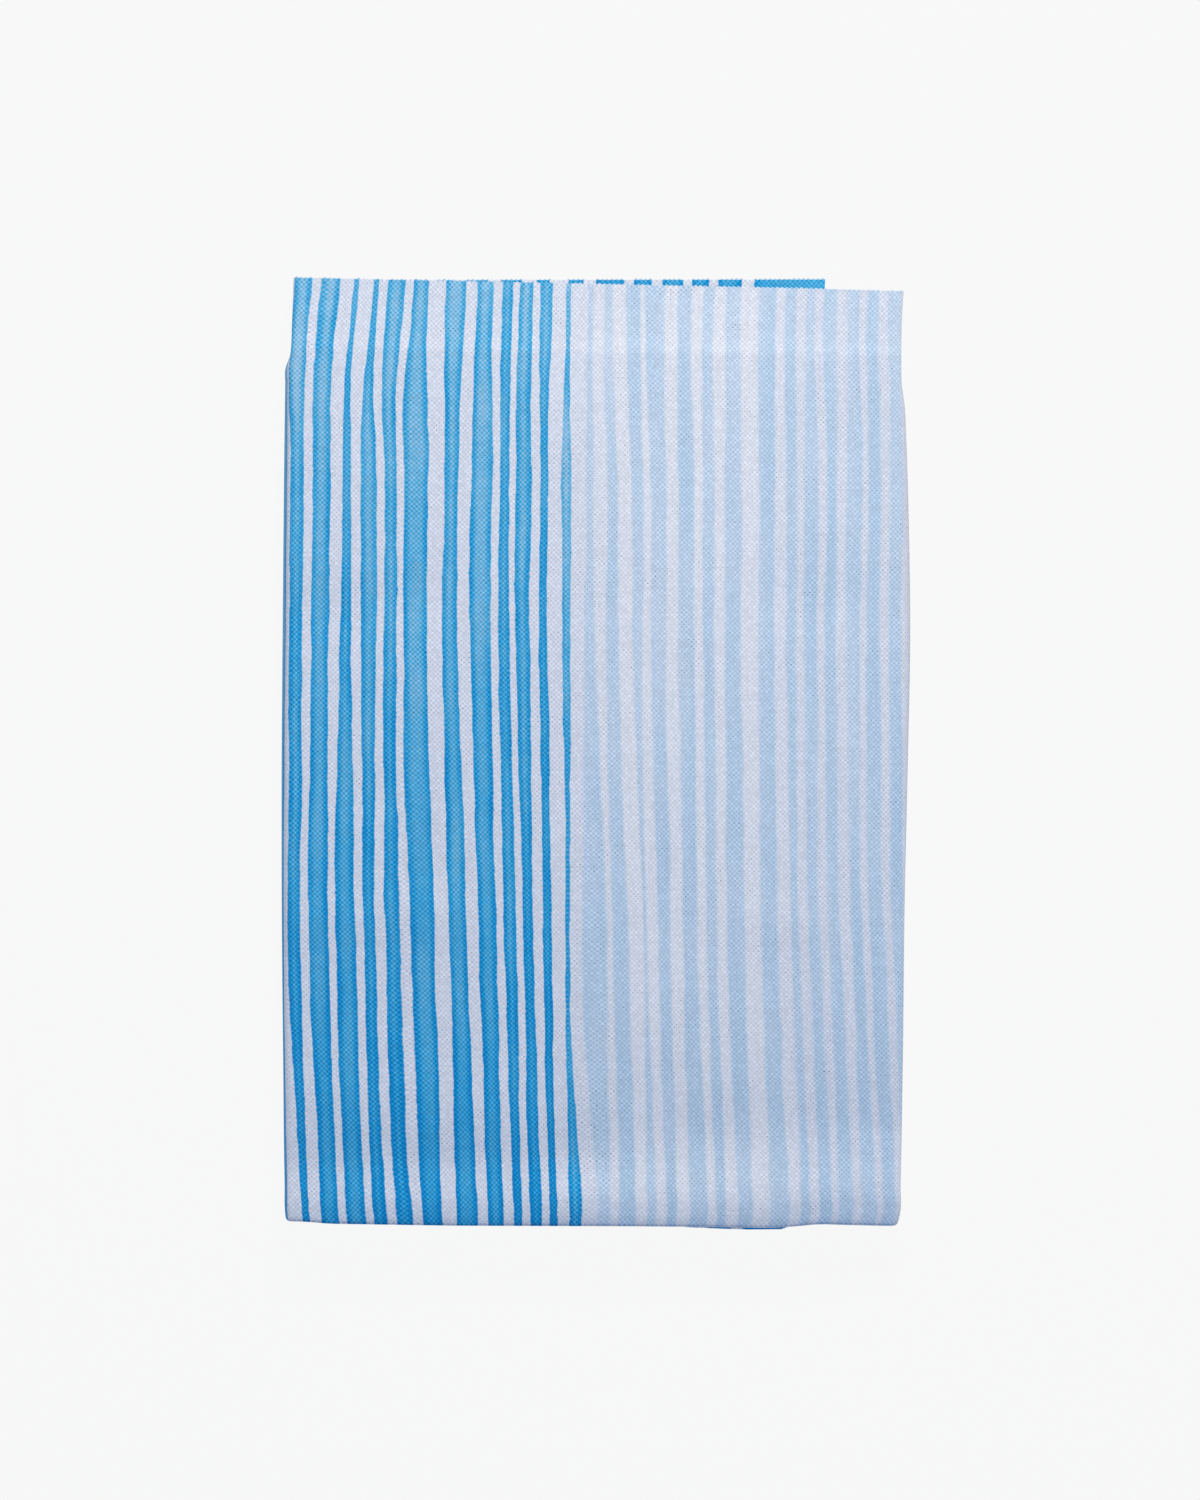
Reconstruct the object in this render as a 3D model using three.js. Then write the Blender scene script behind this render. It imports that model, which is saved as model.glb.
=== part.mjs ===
// A thin cotton hand towel, folded into a flat pack.
//
// The towel is one cloth of about 337 by 900 mm. It is folded in half along its length, and the
// doubled strip is then folded in half three times, which gives eight doubled layers. The solid
// is the doubled strip: its section runs back and forth through the eight layers, which lie a
// little apart, and is drawn out along the pack.
//
// Millimetres, +Z up. +X runs across the pack, from the nested folds to the side where both ends
// stop short, and +Y along it, from the lengthwise fold to the selvedges. The origin is the
// centre of the pack's box, on the surface that it lies on.

import * as THREE from "three";

const LAYERS = 8;
const LAYER = 1.0; // thickness of a doubled strip
const GAP = 0.3; // air between two layers
const PACK_WIDTH = 117.0; // between the outer faces of the side folds
const OUTER_CORNER = 1.2; // centreline radius at the corners of a fold that wraps others
const END_INSET = 15.0; // how far both ends stop short of the right side
const OVERHANG_SAG = 1.5; // how far the layers sink beyond the ends
const UNEVENNESS = 0.15; // rise and fall of the top face

const PANEL_X = [-36, -12, 12, 32, 43.8, 50]; // where a layer's section has points between its turns
const CORNER_STEPS = 3; // straight pieces of one rounded corner

const PITCH = LAYER + GAP;
const PACK_HEIGHT = LAYERS * LAYER + (LAYERS - 1) * GAP;
const HALF_WIDTH = PACK_WIDTH / 2;
const TIGHT_CORNER = PITCH / 2; // of every other fold, so that two neighbouring layers can join

// The two ends and the seven folds, in their order along the strip.
//   side    -1 on the left, +1 on the right
//   inset   how far the outer face lies inside the pack's side
//   leaves  the layer that the strip comes from, counted from the top of the pack
//   enters  the layer that it goes on to
//   corner  centreline radius of its two corners
//   head    Y of the selvedge there
//   foot    Y of the lengthwise fold there
const TURNS = [
  { side: 1, inset: END_INSET, enters: 8, head: 88.6, foot: -87.1 },
  { side: -1, inset: 0, leaves: 8, enters: 1, corner: OUTER_CORNER, head: 88.4, foot: -86.9 },
  { side: 1, inset: 0, leaves: 1, enters: 4, corner: OUTER_CORNER, head: 86.0, foot: -87.8 },
  { side: -1, inset: 3 * PITCH, leaves: 4, enters: 5, corner: TIGHT_CORNER, head: 87.8, foot: -86.6 },
  { side: 1, inset: 0.8, leaves: 5, enters: 6, corner: TIGHT_CORNER, head: 85.3, foot: -87.3 },
  { side: -1, inset: 2 * PITCH, leaves: 6, enters: 3, corner: TIGHT_CORNER, head: 87.5, foot: -86.3 },
  { side: 1, inset: PITCH, leaves: 3, enters: 2, corner: TIGHT_CORNER, head: 85.2, foot: -87.2 },
  { side: -1, inset: PITCH, leaves: 2, enters: 7, corner: TIGHT_CORNER, head: 87.6, foot: -86.4 },
  { side: 1, inset: END_INSET + 0.5, leaves: 7, head: 86.9, foot: -88.5 },
];

// The pack's outline and height, along it from the lengthwise fold to the selvedges. The folds at
// the foot are puffed up. One half of the doubled strip is narrower, so the pack is lower near its
// head.
//   along   share of the strip's width
//   left    X of the left side
//   right   X of the right side
//   height  share of the full height
const STATIONS = [
  { along: 0.0, left: -57.0, right: 55.7, height: 0.95 },
  { along: 0.01, left: -57.6, right: 56.3, height: 1.01 },
  { along: 0.03, left: -57.9, right: 56.7, height: 1.03 },
  { along: 0.08, left: -58.1, right: 57.2, height: 1.01 },
  { along: 0.14, left: -58.3, right: 57.4, height: 0.985 },
  { along: 0.34, left: -58.4, right: 57.7, height: 1.0 },
  { along: 0.61, left: -58.4, right: 58.6, height: 1.0 },
  { along: 0.74, left: -58.1, right: 58.3, height: 1.0 },
  { along: 0.82, left: -57.9, right: 58.0, height: 1.0 },
  { along: 0.86, left: -57.9, right: 57.6, height: 1.0 },
  { along: 0.885, left: -57.9, right: 57.0, height: 0.995 },
  { along: 0.906, left: -57.8, right: 56.9, height: 0.98 },
  { along: 0.916, left: -57.0, right: 57.0, height: 0.96 },
  { along: 0.94, left: -56.8, right: 57.1, height: 0.92 },
  { along: 0.97, left: -56.5, right: 57.2, height: 0.885 },
  { along: 1.0, left: -56.2, right: 57.5, height: 0.87 },
];

function layerHeight(layer) {
  return LAYER / 2 + (LAYERS - layer) * PITCH;
}

// X of the centreline where a turn reaches furthest out, or where an end stops.
function reach(turn) {
  const thickness = turn.corner === undefined ? 0 : LAYER / 2;
  return turn.side * (HALF_WIDTH - turn.inset - thickness);
}

// The centreline through one fold: two rounded corners, from one layer to the other.
function foldPoints(turn, place) {
  const start = layerHeight(turn.leaves);
  const end = layerHeight(turn.enters);
  const rise = Math.sign(end - start);
  const centreX = reach(turn) - turn.side * turn.corner;
  const points = [];
  for (const quarter of [-1, 0]) {
    const centreZ = quarter < 0 ? start + rise * turn.corner : end - rise * turn.corner;
    for (let step = 0; step <= CORNER_STEPS; step += 1) {
      const angle = rise * (quarter + step / CORNER_STEPS) * (Math.PI / 2);
      const outward = new THREE.Vector2(turn.side * Math.cos(angle), Math.sin(angle));
      points.push({
        at: new THREE.Vector2(centreX, centreZ).addScaledVector(outward, turn.corner),
        normal: outward.multiplyScalar(-turn.side * rise),
        place,
      });
    }
  }
  return points.filter((point, i) => i === 0 || point.at.distanceTo(points[i - 1].at) > 1e-6);
}

// The centreline along one layer, without the points that the turns beside it give.
function panelPoints(from, to, place) {
  const z = layerHeight(from.enters);
  const leftX = Math.min(reach(from), reach(to));
  const rightX = Math.max(reach(from), reach(to));
  const stops = PANEL_X.filter((x) => x > leftX && x < rightX);
  if (to.side < 0) stops.reverse();
  return stops.map((x) => ({
    at: new THREE.Vector2(x, z),
    normal: new THREE.Vector2(0, to.side),
    place: place + (x - reach(from)) / (reach(to) - reach(from)),
  }));
}

function endPoint(turn, layer, travel, place) {
  return {
    at: new THREE.Vector2(reach(turn), layerHeight(layer)),
    normal: new THREE.Vector2(0, travel),
    place,
  };
}

// The whole centreline. A point's place counts turns: 1.5 is halfway from turn 1 to turn 2.
function centreline() {
  const last = TURNS.length - 1;
  const points = [endPoint(TURNS[0], TURNS[0].enters, -1, 0)];
  for (let i = 1; i <= last; i += 1) {
    points.push(...panelPoints(TURNS[i - 1], TURNS[i], i - 1));
    if (i < last) points.push(...foldPoints(TURNS[i], i));
  }
  points.push(endPoint(TURNS[last], TURNS[last].leaves, 1, last));
  return points;
}

// Section points are found again by their coordinates as a geometry stores them.
function keyOf(x, z) {
  return `${Math.fround(x)} ${Math.fround(z)}`;
}

// The section's outline, and the place along the strip of each of its points.
function section() {
  const line = centreline();
  const places = new Map();
  const face = (side) =>
    line.map(({ at, normal, place }) => {
      const point = at.clone().addScaledVector(normal, (side * LAYER) / 2);
      places.set(keyOf(point.x, point.y), place);
      return point;
    });
  const outline = [...face(1), ...face(-1).reverse()];
  return { shape: new THREE.Shape(outline), places };
}

function alongTurns(place, column) {
  const i = Math.min(Math.floor(place), TURNS.length - 2);
  return THREE.MathUtils.lerp(TURNS[i][column], TURNS[i + 1][column], place - i);
}

// Soft rise and fall, in parts of one.
function unevenness(x, y) {
  return Math.sin(x / 17 + 0.8) * Math.cos(y / 29 - 0.4);
}

// Where a point of the straight section lies in the folded pack.
function settle(x, z, place, station) {
  const head = alongTurns(place, "head");
  const foot = alongTurns(place, "foot");
  const across = (x + HALF_WIDTH) / PACK_WIDTH;
  const settledX = THREE.MathUtils.lerp(station.left, station.right, across);
  const settledY = THREE.MathUtils.lerp(foot, head, station.along);
  const sag = OVERHANG_SAG * THREE.MathUtils.smoothstep(x, HALF_WIDTH - END_INSET, HALF_WIDTH);
  const wave = UNEVENNESS * (z / PACK_HEIGHT) * unevenness(settledX, settledY);
  return new THREE.Vector3(settledX, settledY, (z - sag) * station.height + wave);
}

function clothGeometry() {
  const { shape, places } = section();
  const steps = STATIONS.length - 1;
  const geometry = new THREE.ExtrudeGeometry(shape, { depth: steps, steps, bevelEnabled: false });
  const position = geometry.getAttribute("position");
  for (let i = 0; i < position.count; i += 1) {
    const x = position.getX(i);
    const z = position.getY(i);
    // The extrusion runs from the head to the foot, which keeps the faces pointing out.
    const station = STATIONS[steps - Math.round(position.getZ(i))];
    const settled = settle(x, z, places.get(keyOf(x, z)), station);
    position.setXYZ(i, settled.x, settled.y, settled.z);
  }
  geometry.computeBoundingBox();
  const { min, max } = geometry.boundingBox;
  geometry.translate(-(min.x + max.x) / 2, -(min.y + max.y) / 2, -min.z);
  geometry.computeVertexNormals();
  return geometry;
}

const cotton = new THREE.MeshStandardMaterial({
  name: "cotton",
  color: 0xb4cfea,
  roughness: 0.9,
  metalness: 0,
});

const cloth = new THREE.Mesh(clothGeometry(), cotton);
cloth.name = "cloth";

const towel = new THREE.Group();
towel.add(cloth);

export default towel;
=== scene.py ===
# %% [markdown]
# # A folded cotton hand towel
# The object is a tenugui, the thin flat-woven hand towel of Japan, folded into a pack of the
# kind that lies on a shop table. It is one cloth, about 337 by 885 mm, dyed through in
# wavering stripes: deep blue towards its ends and pale blue in the middle.
#
# First the fixed frame is loaded. It holds the towel's solid, which gives the pack its size
# and the place of each fold. Everything below is made around it.

# %% Load the frame
import math

import bpy
import numpy as np
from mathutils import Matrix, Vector


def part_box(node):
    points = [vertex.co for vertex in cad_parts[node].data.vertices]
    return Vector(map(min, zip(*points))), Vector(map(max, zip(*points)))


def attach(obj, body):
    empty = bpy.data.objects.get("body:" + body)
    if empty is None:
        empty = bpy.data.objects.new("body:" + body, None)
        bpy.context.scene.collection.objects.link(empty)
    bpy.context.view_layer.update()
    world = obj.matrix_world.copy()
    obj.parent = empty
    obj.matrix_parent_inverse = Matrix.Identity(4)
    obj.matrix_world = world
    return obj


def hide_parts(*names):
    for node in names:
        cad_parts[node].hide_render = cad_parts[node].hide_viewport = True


MM = 0.001
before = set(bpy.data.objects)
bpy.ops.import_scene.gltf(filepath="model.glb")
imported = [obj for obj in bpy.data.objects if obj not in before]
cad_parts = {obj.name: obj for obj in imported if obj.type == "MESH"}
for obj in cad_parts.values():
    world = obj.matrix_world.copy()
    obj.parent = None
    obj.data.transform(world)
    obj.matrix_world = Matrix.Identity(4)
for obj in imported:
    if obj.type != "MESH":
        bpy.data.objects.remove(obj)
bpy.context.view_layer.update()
low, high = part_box("cloth")
print("the pack measures", [round((b - a) / MM, 1) for a, b in zip(low, high)], "mm")

# %% [markdown]
# ## The camera
# The pack is seen from straight above. A long lens far away shows almost nothing of its side
# walls. The camera's distance follows from the strip of table that the frame's height takes in
# at the level of the pack's top face.

# %% The camera
FRAME_HEIGHT = 278.8 * MM  # of table, seen from the frame's top to its bottom
LENS = 200.0  # mm, on a sensor 36 mm high
SENSOR = 36.0
TOP_FACE = 10.1 * MM
CAMERA_X, CAMERA_Y = 0.8 * MM, 0.6 * MM
CLIP_END = 10.0  # metres

scene = bpy.context.scene
camera = bpy.data.objects.new("camera", bpy.data.cameras.new("camera"))
scene.collection.objects.link(camera)
camera.data.sensor_fit = "VERTICAL"
camera.data.sensor_height = SENSOR
camera.data.lens = LENS
camera.location = (CAMERA_X, CAMERA_Y, TOP_FACE + FRAME_HEIGHT * LENS / SENSOR)
camera.data.clip_end = CLIP_END
scene.camera = camera
print("the camera is", round(camera.location.z, 3), "m above the table")

# %% [markdown]
# ## How the towel is folded
# The cloth is folded once along its length, so that its two long edges lie near each other.
# That doubled strip is then folded in half three times. Seen from its end, the strip is one
# line that runs back and forth through eight layers, and the whole towel can be made from that
# line: the cloth is a grid whose columns follow the line and whose rows run across the strip.
#
# The table lists the strip's ends and folds in order. The layers are counted from the top.
# Heights and places are in millimetres until the mesh is made.

# %% The folds, in their order along the strip
LAYERS = 8
LAYER = 1.0  # thickness of the doubled strip
PITCH = 1.3  # from one layer to the next
HALF_WIDTH = round(high[0] / MM, 3)
WRAP_CORNER = 0.75  # radius of the strip's middle line where it wraps other layers
TIGHT_CORNER = PITCH / 2
END_INSET = 15.0  # how far both ends stop short of the right side

#        side  inset          leaves enters  corner        head   foot
TURNS = [
    (+1, END_INSET,      None, 8,    0.0,          88.6, -87.1),
    (-1, 0.0,            8,    1,    WRAP_CORNER,  88.4, -86.9),
    (+1, 0.0,            1,    4,    WRAP_CORNER,  86.0, -87.8),
    (-1, 3 * PITCH,      4,    5,    TIGHT_CORNER, 87.8, -86.6),
    (+1, 0.8,            5,    6,    TIGHT_CORNER, 85.3, -87.3),
    (-1, 2 * PITCH,      6,    3,    TIGHT_CORNER, 87.5, -86.3),
    (+1, PITCH,          3,    2,    TIGHT_CORNER, 85.2, -87.2),
    (-1, PITCH,          2,    7,    TIGHT_CORNER, 87.6, -86.4),
    (+1, END_INSET + 0.5, 7,   None, 0.0,          86.9, -86.6),
]
SIDE, INSET, LEAVES, ENTERS, CORNER, HEAD, FOOT = range(7)


def layer_height(layer):
    return LAYER / 2 + (LAYERS - layer) * PITCH


def reach(turn):
    """X of the middle line where a turn goes furthest out, or where an end stops."""
    is_end = turn[CORNER] == 0
    return turn[SIDE] * (HALF_WIDTH - turn[INSET] - (0.0 if is_end else LAYER / 2))


print(len(TURNS) - 2, "folds and 2 ends, in", LAYERS, "layers")

# %% [markdown]
# The line itself is a list of points. Each keeps what later steps need: the direction across
# the strip, and its place among the turns, which is a whole number on a fold and lies between
# two of them on a layer.

# %% The line that the strip follows
CORNER_STEPS = 5
WALL_STEP = 1.2
PANEL_STEPS = {1: 62, LAYERS: 34}  # columns on the top and bottom layers
INNER_STEPS = 16
SAME_POINT = 1e-6


def fold_points(turn, place):
    """Points of one fold: a rounded corner, a wall and another corner."""
    start, end = layer_height(turn[LEAVES]), layer_height(turn[ENTERS])
    rise = math.copysign(1, end - start)
    side, radius = turn[SIDE], turn[CORNER]
    centre_x = reach(turn) - side * radius
    points = []
    for quarter, centre_z in ((-1, start + rise * radius), (0, end - rise * radius)):
        for step in range(CORNER_STEPS + 1):
            angle = rise * (quarter + step / CORNER_STEPS) * math.pi / 2
            out = (side * math.cos(angle), math.sin(angle))
            points.append((centre_x + radius * out[0], centre_z + radius * out[1],
                           -side * rise * out[0], -side * rise * out[1], place))
        if quarter == -1:
            wall = abs(end - start) - 2 * radius
            count = int(wall / WALL_STEP)
            for step in range(1, count + 1):
                z = start + rise * (radius + wall * step / (count + 1))
                points.append((reach(turn), z, -rise, 0.0, place))
    return points


def strip_line():
    """Points of the whole strip: x, z, the direction across it and the place among the turns."""
    line = []
    for i, turn in enumerate(TURNS[:-1]):
        after = TURNS[i + 1]
        z, travel = layer_height(turn[ENTERS]), after[SIDE]
        from_x = reach(turn) - turn[SIDE] * turn[CORNER]
        to_x = reach(after) - after[SIDE] * after[CORNER]
        if i:
            line += fold_points(turn, float(i))
        steps = PANEL_STEPS.get(turn[ENTERS], INNER_STEPS)
        for k in range(0 if i == 0 else 1, steps + 1 if after is TURNS[-1] else steps):
            x = from_x + (to_x - from_x) * k / steps
            line.append((x, z, 0.0, travel, i + k / steps))
    distinct = [line[0]]
    for point in line[1:]:
        if math.dist(point[:2], distinct[-1][:2]) > SAME_POINT:
            distinct.append(point)
    return np.array(distinct)


line = strip_line()
line_x, line_z, normal_x, normal_z, place = line.T
print(len(line), "columns along the strip")

# %% [markdown]
# Straight layers would look like a stack of boards. The real pack is a little wider in its
# middle, where the wrapped layers push its walls out, and narrower where the hidden half of the
# cloth ends. The table gives the creases along the pack, and how far the walls swell beyond
# them. A smooth curve through the rows keeps kinks out.

# %% The pack's sides, along it from the lengthwise fold to the selvedges
#      y     left crease, swell   right crease, swell
SIDES = np.array([
    (-88.6, -56.9, 0.30, 55.4, 0.00),
    (-87.6, -57.0, 0.50, 56.0, 0.00),
    (-86.0, -57.2, 0.60, 56.5, 0.05),
    (-80.0, -57.3, 0.70, 56.7, 0.10),
    (-60.0, -57.4, 0.85, 57.0, 0.20),
    (-27.0, -57.5, 1.05, 57.3, 0.30),
    (0.0, -57.4, 1.15, 57.2, 1.00),
    (21.0, -57.2, 1.20, 57.0, 1.60),
    (43.0, -57.1, 1.10, 57.0, 1.35),
    (58.0, -57.0, 1.05, 56.95, 0.95),
    (65.5, -56.95, 1.00, 56.9, 0.60),
    (69.0, -56.9, 1.00, 56.9, 0.12),
    (71.8, -56.9, 0.95, 56.9, 0.00),
    (73.0, -56.8, 0.60, 56.9, 0.00),
    (74.4, -56.75, 0.05, 56.9, 0.00),
    (80.0, -56.5, 0.00, 57.0, 0.00),
    (88.6, -56.2, 0.00, 57.5, 0.00),
])


def smoothstep(x, low=0.0, high=1.0):
    t = np.clip((x - low) / (high - low), 0.0, 1.0)
    return t * t * (3 - 2 * t)


def along_table(y, table, column):
    """A column of a table between its rows, eased so that no row shows as a corner."""
    y = np.clip(y, table[0, 0], table[-1, 0])
    row = np.clip(np.searchsorted(table[:, 0], y, side="right") - 1, 0, len(table) - 2)
    start, end = table[row, 0], table[row + 1, 0]
    t = (y - start) / (end - start)
    slope = np.gradient(table[:, column], table[:, 0])
    span = end - start
    return ((1 + 2 * t) * (1 - t) ** 2 * table[row, column] + t * (1 - t) ** 2 * span * slope[row]
            + t * t * (3 - 2 * t) * table[row + 1, column]
            + t * t * (t - 1) * span * slope[row + 1])


print("width between the creases at the middle:",
      round(float(along_table(0.0, SIDES, 3) - along_table(0.0, SIDES, 1)), 1), "mm")

# %% [markdown]
# ## The top face's hollows and ridges
# One half of the doubled cloth is narrower than the other, and its selvedge lies hidden under
# the top face, some 14 mm from the head. The face drops over it like a cloth over the edge of
# a ruler. The folds at the foot are springy and push up a low ridge with a trough before it.
# The rest are soft dents left by handling. Each is given as a line with a width and a
# rise, and its effect fades downward through the layers.

# %% Relief of the face
#     from x, y       to x, y        width  rise
DENTS = [
    (-58.0, -84.5,   -5.0, -84.0,    3.2,  0.22),
    (-5.0, -84.0,    58.0, -82.5,    4.6,  0.42),
    (-58.0, -76.5,   -2.0, -75.5,    4.5, -0.42),
    (-2.0, -73.0,    58.0, -70.0,    6.5, -0.62),
    (4.0, -64.0,     58.0, -62.0,   10.0, -0.30),
    (-52.0, -63.0,  -20.0, -66.0,    6.0,  0.20),
    (-56.0, 26.0,   -32.0, 27.5,     5.5, -0.36),
    (34.0, 29.0,     57.0, 27.0,     6.0, -0.28),
    (-54.0, -31.0,  -28.0, -30.0,    5.0,  0.32),
    (30.0, -31.0,    40.0, -31.5,    4.5,  0.22),
    (-40.0, 66.0,   -28.0, 36.0,     7.0, -0.16),
    (-2.0, 66.0,      6.0, 40.0,     8.0,  0.14),
    (46.0, 60.0,     54.0, 40.0,     6.0, -0.18),
    (12.0, -48.0,    24.0, -60.0,    8.0,  0.16),
    (-30.0, -46.0,  -22.0, -58.0,    7.0, -0.14),
    (49.0, -70.2,    57.0, -69.6,    1.2, -0.10),
]
UNDER_EDGE = 74.7  # Y of the hidden selvedge
UNDER_EDGE_SLANT = -0.011  # how it climbs from the right to the left
HEAD_DROP = 0.065  # share of the height that is lost beyond it
HEAD_FALL = 4.5  # mm in which most of that happens
PUFF = 0.02  # share of the height that the folds at the foot add
PUFF_Y, PUFF_REACH = -82.5, 4.0
FOOT_LOSS = 0.03  # and the share that is lost where they turn down
FOOT_TURN = (86.0, 88.6)
END_EDGE = HALF_WIDTH - END_INSET
OVERHANG_SAG = 1.5
BROAD_SWELL, FINE_SWELL = 0.12, 0.05


def under_edge(x):
    return UNDER_EDGE + UNDER_EDGE_SLANT * x


def height_share(x, y):
    """Share of the pack's full height at a point."""
    beyond = y - under_edge(x)
    fall = 1 - np.exp(-np.maximum(beyond, 0.0) / HEAD_FALL)
    puffed = PUFF * np.exp(-(((y - PUFF_Y) / PUFF_REACH) ** 2))
    return 1 - HEAD_DROP * fall + puffed - FOOT_LOSS * smoothstep(-y, *FOOT_TURN)


def relief(x, y):
    """Rise of the top face, in mm: two slow waves and the dents."""
    total = BROAD_SWELL * np.sin(x / 17 + 0.8) * np.cos(y / 29 - 0.4)
    total += FINE_SWELL * np.sin(x / 7.3 + y / 19) * np.cos(y / 11 + x / 31)
    for x0, y0, x1, y1, width, rise in DENTS:
        dx, dy = x1 - x0, y1 - y0
        t = np.clip(((x - x0) * dx + (y - y0) * dy) / (dx * dx + dy * dy), 0.0, 1.0)
        away = np.hypot(x - x0 - t * dx, y - y0 - t * dy) / width
        total += rise * np.exp(-away * away)
    return total


print(len(DENTS), "dents and ridges, the deepest", min(d[5] for d in DENTS), "mm")

# %% [markdown]
# ## The cloth
# Rows run across the strip: down its narrower half, round the lengthwise fold and up the wider
# half, which is the one that shows. They are closer together where the cloth bends. Each grid
# point takes its column's place on the line, steps off it by its half's distance, and then
# settles into the pack's real outline. The outer cloth of a wrap is pressed to a crisp crease,
# so its corner is nearly square, while the cloth inside stays round.
#
# Two details belong to folding by hand. The lengthwise fold is not quite straight, and the
# cloth lies a little off its grain, so the stripes lean. The fold's waves move the grid, and
# the lean is kept in the UV map, which says for each point of the mesh which point of the flat
# cloth lies there. The weave and the stripes follow that map.

# %% The rows
SHORT_HALF, LONG_HALF = 160.6, 175.2  # widths of the cloth on the two sides of the fold
PLY_OFFSET = 0.33  # from the strip's middle line to the middle of either half
PLY = 0.32  # thickness of the cloth
FOOT_RADIUS = 0.42
FOOT_ARC_ROWS = 7
# how far apart the rows are, up to each height
LONG_SPACING = [(2.0, 0.5), (9.0, 1.0), (24.0, 1.5), (155.0, 1.9), (159.0, 1.0), (166.0, 0.6),
                (170.0, 1.3), (LONG_HALF, 1.2)]
SHORT_SPACING = [(2.0, 0.7), (9.0, 2.3), (156.0, 5.2), (SHORT_HALF, 2.3)]


def spaced(stops):
    """Row places from a list of (place, spacing up to it)."""
    places = [0.0]
    for stop, spacing in stops:
        start = places[-1]
        count = max(1, round((stop - start) / spacing))
        places += [start + (stop - start) * (k + 1) / count for k in range(count)]
    return np.array(places)


long_rows = spaced(LONG_SPACING)
short_rows = spaced(SHORT_SPACING)[::-1]
arc_angles = np.linspace(0, math.pi, FOOT_ARC_ROWS + 2)[1:-1]
FOLD_ACROSS = SHORT_HALF + FOOT_RADIUS * math.pi  # where the wider half begins


def each_row(short, arc, long):
    """A value for every row, from those of the narrower half, the fold and the wider half."""
    return np.concatenate([short + 0 * short_rows, arc + 0 * arc_angles, long + 0 * long_rows])


rows_up = each_row(short_rows, 0, long_rows)
rows_half = each_row(-1, -np.cos(arc_angles), 1)  # the side of the strip
rows_round = each_row(0, np.sin(arc_angles), 0)
rows_across = each_row(SHORT_HALF - short_rows, SHORT_HALF + FOOT_RADIUS * arc_angles,
                       FOLD_ACROSS + long_rows)
WIDTH = rows_across[-1]
print(len(rows_up), "rows; the flat cloth is", round(WIDTH, 1), "mm wide")

# %% Where each point of the grid lies
#    x, the lengthwise fold's place against the straight line between its turns
FOOT_WAVE = np.array([
    (-58.0, 0.0), (-55.0, -0.15), (-50.0, -0.38), (-27.0, -0.55), (8.0, -0.40), (27.0, -0.42),
    (34.5, -0.50), (38.5, -0.22), (43.5, 0.30), (50.0, 0.12), (58.0, 0.0)])
#    x, and the same for the last layer, whose edge shows past the others in three places
LAST_FOOT_WAVE = np.array([
    (10.0, 0.0), (14.5, -0.9), (16.5, -1.8), (20.2, -1.9), (21.8, -1.2), (22.8, -1.3),
    (24.4, -2.1), (31.6, -2.3), (32.5, -1.7), (33.4, -2.3), (37.0, -2.2), (38.8, -1.1),
    (40.5, 0.0)])
#    y, how far the stripes stand off their columns at nine places from left to right
LEAN = np.array([
    (-88.6, 1.8, 2.0, 2.3, 3.6, 2.9, 2.0, 3.3, 2.8, 3.6),
    (-70.0, 1.2, 1.3, 1.4, 2.8, 2.1, 1.2, 2.7, 1.9, 2.7),
    (-57.0, 0.6, 0.8, 1.1, 2.6, 1.8, 0.7, 2.1, 1.3, 1.8),
    (-38.0, 0.1, 0.3, 0.7, 1.8, 1.2, 0.3, 1.6, 0.6, 0.9),
    (-28.0, 0.0, 0.1, 0.4, 1.6, 1.0, 0.4, 1.4, 0.4, 0.3),
    (0.0, 0.0, 0.0, 0.1, 0.6, 0.4, 0.2, 0.5, 0.1, 0.1),
    (21.0, 0.0, 0.0, 0.0, 0.0, 0.0, 0.0, 0.0, 0.0, 0.0),
    (52.0, 0.1, 0.2, -0.1, 0.2, 0.1, 0.0, -0.1, 0.0, 0.4),
    (66.0, -0.1, 0.2, -0.5, 0.2, 0.1, 0.0, -0.6, 0.0, 0.3),
    (76.0, -0.2, 0.8, -0.1, 0.2, 0.2, 0.0, -0.9, -0.1, 0.0),
    (88.6, 0.4, 1.5, 0.5, 0.2, 0.0, -0.2, -1.5, -0.3, -0.2)])
LEAN_AT = (0.02, 0.07, 0.165, 0.23, 0.40, 0.46, 0.54, 0.70, 0.98)  # of the way across the pack
CRISP = 5.0  # 2 is a round corner, and more is squarer
WRAPS = (1.0, 2.0)  # the two folds that wrap other layers, with the top layer between them
EASE = 0.05  # of the way from one turn to the next
LAST_LAYER = 7.02  # the place among the turns from which the last layer counts
PACK_HEIGHT = LAYERS * PITCH - PITCH + LAYER
FOOT_REACH = 2.5  # mm above the fold in which its wider bend dies away
WALL_ROUNDNESS = 0.8
LEAN_STARTS, LEAN_ENDS = (0.0, 0.6), (2.4, 3.4)  # places among the turns
CHART_Y = 22.0  # the row along which the cloth is measured

half = rows_half[:, None]
heads = np.interp(place, range(len(TURNS)), [turn[HEAD] for turn in TURNS])[None, :]
feet = np.interp(place, range(len(TURNS)), [turn[FOOT] for turn in TURNS])[None, :]
on_top = smoothstep(place, WRAPS[0], WRAPS[0] + EASE)
on_top = on_top * (1 - smoothstep(place, WRAPS[1] - EASE, WRAPS[1]))
feet = feet + on_top * np.interp(line_x, *FOOT_WAVE.T)[None, :]
feet = feet + (place > LAST_LAYER) * np.interp(line_x, *LAST_FOOT_WAVE.T)[None, :]

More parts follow.
